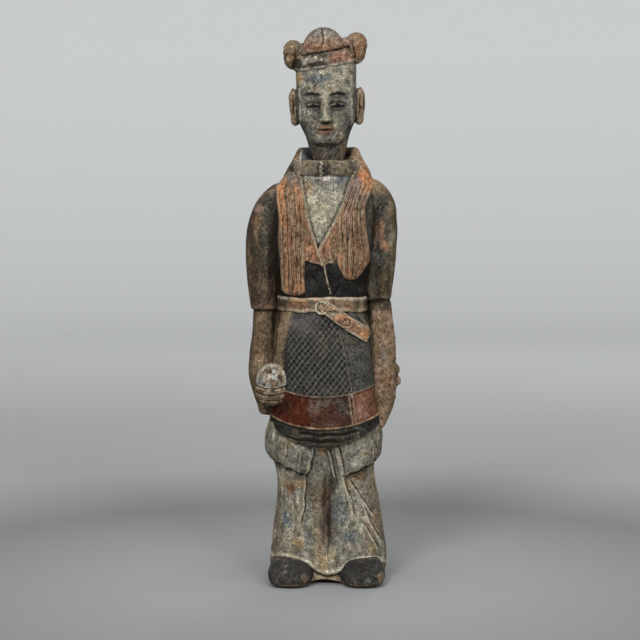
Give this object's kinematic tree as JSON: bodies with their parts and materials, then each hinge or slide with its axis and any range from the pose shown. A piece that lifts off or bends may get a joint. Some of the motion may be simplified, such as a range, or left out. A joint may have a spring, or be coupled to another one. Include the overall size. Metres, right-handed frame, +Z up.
{
  "type": "standing tomb figure",
  "caption": "Moulded pottery tomb figure of a standing servant in a belted robe, wide trousers and a lobed cap, with a head that lifts out of the collar.",
  "frame": {"origin": "on the floor, on the flat underside between the two shoes' heels", "axes": "+Z up, the figure faces -Y and its own left hand is at +X"},
  "size_m": [0.1407, 0.0929, 0.4998],
  "materials": {
    "painted_clay": "matt, worn cold paint over bare clay",
    "slipped_clay": "matt, worn white slip over bare clay"
  },
  "bodies": {
    "root": {"robed_body": "painted_clay", "head_with_cap": "slipped_clay"}
  },
  "joints": []
}
